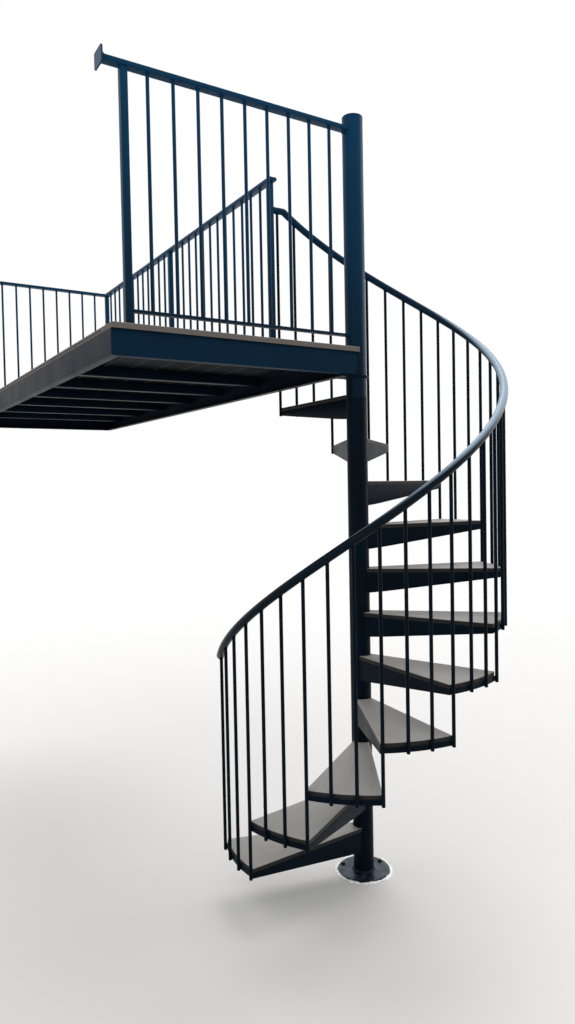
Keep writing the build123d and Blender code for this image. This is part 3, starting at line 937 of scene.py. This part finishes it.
def deck_section(width):
    """A deck board's section: eased top corners, a clip groove in each side and a scalloped underside,
    whose height is a squared sine of 17 mm pitch."""
    half = width / 2
    top = DECK[1][2] - DECK[0][2] - BOARD_EASE
    swing = np.linspace(0, pi / 2, 4)
    scallops = int((width - 0.014) / SCALLOP_PITCH)
    reach = scallops * SCALLOP_PITCH / 2
    under = np.linspace(-reach, reach, scallops * 8 + 1)
    hollow = SCALLOP_HEIGHT * np.sin(pi * (under + reach) / SCALLOP_PITCH) ** 2
    groove = np.array([(0, 0.0105), (-0.007, 0.0105), (-0.007, 0.0135), (0, 0.0135)])
    return np.concatenate([[(-half, 0.001), (-half + 0.001, 0)], np.stack([under, hollow], 1),
                           [(half - 0.001, 0), (half, 0.001)], groove + (half, 0),
                           polar(swing, BOARD_EASE) + (half - BOARD_EASE, top),
                           polar(swing + pi / 2, BOARD_EASE) + (BOARD_EASE - half, top),
                           groove[::-1] * (-1, 1) - (half, 0)])


def border_outline(x0, y0, x1, y1):
    """Plan of the border board: a rectangle whose side at the column follows a circle round its axis."""
    radius = COLUMN_RADIUS + BORDER_CLEARANCE
    bite = np.arccos(x1 / radius)
    hollow = polar(np.linspace(-bite, bite - 2 * pi, 22), radius)
    side = np.linspace(y0, hollow[0][1], 5)[:-1]
    beyond = np.linspace(hollow[-1][1], y1, 4)[1:]
    return np.concatenate([[(x0, y0)], np.stack([np.full(4, x1), side], 1), hollow,
                           np.stack([np.full(3, x1), beyond], 1), [(x0, y1)]])


class STAIR_OT_deck(bpy.types.Operator):
    """Scalloped deck boards, the border board notched round the column, and its screws"""
    bl_idname = "stair.deck"
    bl_label = "Deck boards"

    def execute(self, context):
        part, tones = sizes(), colours()
        (x0, y0, z0), (x1, y1, z1) = DECK
        border_far = y0 + part.border_width
        pitch = (x1 - x0 + part.board_gap) / part.board_count
        width = pitch - part.board_gap
        section = deck_section(width)
        patches, grain = [], []
        for i in range(part.board_count):
            middle = x0 + width / 2 + i * pitch
            ends = [(middle, y1, z0), (middle, border_far + part.board_gap, z0)]
            board = carried(section, ends, (1.0, 0, 0), Z)
            patches.append(board)
            grain.append(board[0][:, [1, 0, 2]] + DECK_GRAIN * i)
        border = slab(border_outline(x0, y0, x1, border_far), z0, z1)
        patches.append(border)
        grain.append(border[0] + BORDER_GRAIN)
        material = finish("capped_composite_decking", capped_composite,
                          tones.deck_edge, tones.deck_under_painted_shade, 0.04)
        dressed("deck_boards", patches, material, np.concatenate(grain))
        # A screw's low round head and the recess in its middle
        head = [(0.0042, -0.002), (0.0042, 0.0002), (0.0036, 0.0006), (0.0019, 0.0005), (0.0016, -0.0008)]
        first_screw, near_row, far_row = 0.09, 0.028, 0.022
        heads = [turned(head, 16, (x, y)) for x in np.linspace(x0 + first_screw, x1 - first_screw, 5)
                 for y in (y0 + near_row, border_far - far_row)]
        heads = [shifted(patch, (0, 0, z1)) for patch in heads]
        piece("border_screws", heads, finish("black_oxide_steel", black_oxide))
        return {"FINISHED"}


def post_patches(x, y, along_x):
    """A square tube on a foot plate with a weld round it and a bolt at each end of the plate."""
    part = sizes()
    half = part.post_width / 2
    tube = bar((x, y, DECK_TOP), (x, y, RAIL_TOP - part.rail_depth),
               eased_rectangle(-half, half, -half, half, 0.003))
    a, b = (POST_FOOT, half) if along_x else (half, POST_FOOT)
    outline = eased_rectangle(x - a, x + a, y - b, y + b, 0.004)
    foot = slab(outline, DECK_TOP, POST_FOOT_TOP, 0.0004, 0.0012)
    wide = half + 0.001
    loop = eased_rectangle(x - wide, x + wide, y - wide, y + wide, 0.004, 6)
    loop = np.concatenate([loop, loop[:1]])
    run = run_along(loop)
    even = np.linspace(0, 1, 40)[:-1] * run[-1]
    path = np.stack([np.interp(even, run, loop[:, i]) for i in (0, 1)], 1)
    weld = bead(raised(path, POST_FOOT_TOP + 0.0008), POST_WELD, True, 0.006, 6)
    bolts = []
    for way in (-POST_FOOT_BOLT, POST_FOOT_BOLT):
        spot = (x + way, y) if along_x else (x, y + way)
        bolts.append(shifted(hex_head(*GUARD_BOLT), (*spot, POST_FOOT_TOP)))
    return [tube, foot, weld], bolts


def guard_bars(spots):
    """Round bars between the low and top rails, each with a weld at its foot and head."""
    part = sizes()
    low, high = DECK_TOP + part.low_rail_top, RAIL_TOP - part.rail_depth
    patches = []
    for x, y in spots:
        patches.append(round_bar(x, y, low - 0.001, high + 0.001))
        for height in (low + 0.0006, high - 0.0006):
            loop = ring_path(part.bar_radius + 0.0005, height, (x, y), 24)
            patches.append(bead(loop, BAR_WELD, True, 0.005, 6))
    return patches


def rail_run(start, stop, ease=0.0015):
    """Top rail between two points in plan, with rounded long edges."""
    part = sizes()
    half = part.rail_width / 2
    section = eased_rectangle(-half, half, -part.rail_depth, 0, 0.005, 4)
    return bar((*start, RAIL_TOP), (*stop, RAIL_TOP), section, ease)


def low_rail_run(start, stop):
    """Low rail between two points in plan: a flat bar as wide as the posts."""
    part = sizes()
    half, height = part.post_width / 2, DECK_TOP + part.low_rail_top
    section = eased_rectangle(-half, half, -part.low_rail_depth, 0, 0.002, 2)
    return bar((*start, height), (*stop, height), section)


def wall_plate(y):
    """The rail's flange on the wall, with two bolts: a rectangle carried off the wall and drawn in at
    both rims."""
    wall, top = NEAR_GUARD[0][0], NEAR_GUARD[1][2]
    section = eased_rectangle(y - WALL_PLATE, y + WALL_PLATE, top - WALL_PLATE_HEIGHT, top, 0.008)
    face = wall + WALL_PLATE_DEPTH
    plate = carried([inset(section, 0.0005), section, section, inset(section, 0.001)],
                    [(wall, 0, 0), (wall + 0.0005, 0, 0), (face - 0.001, 0, 0), (face, 0, 0)],
                    (0, 1.0, 0), Z)
    bolts = [laid(hex_head(*GUARD_BOLT), (face, y + way, top - WALL_PLATE_HEIGHT / 2))
             for way in (-WALL_PLATE_BOLT, WALL_PLATE_BOLT)]
    return [plate], bolts


class STAIR_OT_guards(bpy.types.Operator):
    """Posts, rails and bars of the landing's guards"""
    bl_idname = "stair.guards"
    bl_label = "Guards"

    def execute(self, context):
        part = sizes()
        half, wide = part.post_width / 2, part.rail_width / 2
        posts = {name: sum(node_box(name)) / 2 for name in ("corner_post", "middle_post", "far_post")}
        line_x = posts["corner_post"][0]
        corner, middle, far = (centre[1] for centre in posts.values())
        wall, near_x = NEAR_GUARD[0][0], part.near_post
        bolts = []
        for name, centre in posts.items():
            steel, heads = post_patches(line_x, centre[1], False)
            bolts += heads
            dressed(name, steel, coat("smooth"))
        bays = {"side_guard_near": (corner, middle, node_box("side_guard_near")[0][1], middle),
                "side_guard_far": (middle, far, middle, far + wide)}
        for name, (start, stop, rail_start, rail_stop) in bays.items():
            spots = [(line_x, start + i * part.side_pitch) for i in range(1, part.side_gaps)]
            steel = guard_bars(spots) + [rail_run((line_x, rail_start), (line_x, rail_stop)),
                                         low_rail_run((line_x, start + half), (line_x, stop - half))]
            dressed(name, steel, coat("smooth"))
        first = (near_x + half - COLUMN_RADIUS) / 2 - (part.near_bars - 1) / 2 * part.near_pitch
        near_spots = [(first + i * part.near_pitch, 0.0) for i in range(part.near_bars)]
        far_pitch = (line_x - near_x) / part.far_gaps
        far_spots = [(near_x + i * far_pitch, far) for i in range(1, part.far_gaps)]
        # The near guard's rails end inside the column's surface, without eased ends
        lines = {"near_guard": (0.0, near_spots, -0.037, -0.046, 0.0),
                 "far_guard": (far, far_spots, line_x - wide, line_x - half, 0.0008)}
        for name, (y, spots, rail_stop, low_stop, ease) in lines.items():
            post, heads = post_patches(near_x, y, True)
            plate, plate_bolts = wall_plate(y)
            bolts += heads + plate_bolts
            steel = post + plate + guard_bars(spots)
            steel.append(rail_run((wall + 0.001, y), (rail_stop, y), ease))
            steel.append(low_rail_run((near_x + half, y), (low_stop, y)))
            if name == "near_guard":
                edge = -sqrt(COLUMN_RADIUS ** 2 - wide ** 2) - 0.0005
                for side in (-1, 1):
                    run = upright(edge, side * (wide + 0.0005), RAIL_TOP - part.rail_depth,
                                  RAIL_TOP - 0.002, 12)
                    steel.append(bead(run, RAIL_END_WELD))
            dressed(name, steel, coat("smooth"))
        piece("guard_bolts", bolts, finish("black_oxide_steel", black_oxide))
        return {"FINISHED"}


class STAIR_OT_kept_nodes(bpy.types.Operator):
    """Finishes on the frame's own meshes that stay in view"""
    bl_idname = "stair.kept_nodes"
    bl_label = "Kept steel"

    def execute(self, context):
        grades = {"base_plate": "pooled", "centre_pole": "shaded", "column_bracket": "shaded"}
        for name, grade in grades.items():
            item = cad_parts[name]
            if not item.material_slots:
                item.data.materials.append(coat(grade))
            for place in item.material_slots:
                place.material = coat(grade)
        return {"FINISHED"}


class STAIR_OT_stage(bpy.types.Operator):
    """Pale floor, soft lamps, white surroundings and the camera of the photograph"""
    bl_idname = "stair.stage"
    bl_label = "Stage"

    def execute(self, context):
        scene, reach = context.scene, 60
        mesh = bpy.data.meshes.new("floor")
        corners = [(-reach, -reach, 0), (reach, -reach, 0), (reach, reach, 0), (-reach, reach, 0)]
        mesh.from_pydata(corners, [], [[0, 1, 2, 3]])
        mesh.materials.append(finish("matt_floor_paint", self.floor_paint))
        floor = bpy.data.objects.new("floor", mesh)
        scene.collection.objects.link(floor)
        self.lamps(scene)
        self.surroundings(scene)
        self.camera(scene)
        scene.view_settings.view_transform = "Standard"
        return {"FINISHED"}

    def floor_paint(self, add):
        """Matt pale paint that turns into plain white, for the camera alone, 1.5 to 9 m from the stair."""
        paint = add("ShaderNodeBsdfPrincipled",
                    {"Base Color": colours().floor, "Roughness": 0.9, "Specular IOR Level": 0.1})
        place = add("ShaderNodeTexCoord", output="Object")
        away = add("ShaderNodeVectorMath", {"operation": "LENGTH"}, {0: place}, "Value")
        smooth = {"interpolation_type": "SMOOTHSTEP", "From Min": 1.5, "From Max": 9.0}
        fade = add("ShaderNodeMapRange", smooth, {"Value": away})
        seen = add("ShaderNodeLightPath", output="Is Camera Ray")
        share = add("ShaderNodeMath", {"operation": "MULTIPLY"}, {0: fade, 1: seen})
        white = add("ShaderNodeEmission", {"Color": (1, 1, 1, 1), "Strength": 1.0})
        return add("ShaderNodeMixShader", links={0: share, 1: paint, 2: white})

    def lamps(self, scene):
        """A wide soft key high over the far right side, so that level faces catch it and upright ones don't,
        a weak fill from the near left, and a low rim light from the right for the edges of round steel."""
        for name, toward, spread, strength in (("key", (0.27, 0.42, 0.86), 34.0, 1.2),
                                               ("fill", (-0.75, -0.35, 0.55), 90.0, 0.3),
                                               ("rim", (0.95, -0.2, 0.16), 40.0, 0.9)):
            lamp = bpy.data.lights.new(name, "SUN")
            lamp.angle, lamp.energy = radians(spread), strength
            item = bpy.data.objects.new(name, lamp)
            item.rotation_euler = Vector(toward).to_track_quat("Z", "Y").to_euler()
            item.location = 6 * Vector(toward)
            scene.collection.objects.link(item)

    def surroundings(self, scene):
        """Even light for the object, plain white to the camera, to gloss and through glass."""
        world = bpy.data.worlds.new("studio")
        scene.world = world
        world.use_nodes = True
        world.node_tree.nodes.clear()
        add = partial(add_node, world.node_tree)
        rays = add("ShaderNodeLightPath", output="Is Camera Ray").node
        seen = rays.outputs["Is Camera Ray"]
        for kind in ("Is Glossy Ray", "Is Transmission Ray"):
            seen = add("ShaderNodeMath", {"operation": "MAXIMUM"}, {0: seen, 1: rays.outputs[kind]})
        strength = add("ShaderNodeMapRange", {"To Min": 0.9, "To Max": 1.0}, {"Value": seen})
        light = add("ShaderNodeBackground", {"Color": (1, 1, 1, 1)}, {"Strength": strength})
        add("ShaderNodeOutputWorld", links={"Surface": light})

    def camera(self, scene):
        """Camera fitted to the photograph: its place, heading from +X, pitch down and a slight roll."""
        place = (-2.261, -2.974, 1.940)
        heading, pitch, roll = radians(58.17), radians(1.87), radians(-1.08)
        focal, frame_height = 746.7, 1024
        flat = np.array([cos(heading), sin(heading), 0])
        right = np.array([sin(heading), -cos(heading), 0])
        ahead = flat * cos(pitch) - Z * sin(pitch)
        above = Z * cos(pitch) + flat * sin(pitch)
        right, above = right * cos(roll) + above * sin(roll), above * cos(roll) - right * sin(roll)
        data = bpy.data.cameras.new("photo_camera")
        data.sensor_width = 36
        data.lens = focal / frame_height * data.sensor_width
        data.clip_start, data.clip_end = 0.05, 200
        item = bpy.data.objects.new("photo_camera", data)
        turn = np.column_stack([right, above, -ahead])
        item.matrix_world = Matrix.Translation(place) @ Matrix(turn.tolist()).to_4x4()
        scene.collection.objects.link(item)
        scene.camera = item


class STAIR_PT_panel(bpy.types.Panel):
    """Lists the operators in the order in which main calls them"""
    bl_idname = "STAIR_PT_panel"
    bl_label = "Spiral stair"
    bl_space_type = "VIEW_3D"
    bl_region_type = "UI"
    bl_category = "Stair"

    def draw(self, context):
        for operator in OPERATORS:
            self.layout.operator(operator.bl_idname)


OPERATORS = (STAIR_OT_foot, STAIR_OT_tread_frames, STAIR_OT_tread_boards, STAIR_OT_handrail,
             STAIR_OT_balusters, STAIR_OT_column, STAIR_OT_landing_frame, STAIR_OT_joists,
             STAIR_OT_deck, STAIR_OT_guards, STAIR_OT_kept_nodes, STAIR_OT_stage)
CLASSES = (StairSizes, StairColours) + OPERATORS + (STAIR_PT_panel,)


def register():
    for item in CLASSES:
        bpy.utils.register_class(item)
    bpy.types.Scene.stair_sizes = PointerProperty(type=StairSizes)
    bpy.types.Scene.stair_colours = PointerProperty(type=StairColours)


def unregister():
    del bpy.types.Scene.stair_colours
    del bpy.types.Scene.stair_sizes
    for item in reversed(CLASSES):
        bpy.utils.unregister_class(item)


def main():
    register()
    for operator in OPERATORS:
        group, name = operator.bl_idname.split(".")
        getattr(getattr(bpy.ops, group), name)()


if __name__ == "__main__":
    main()
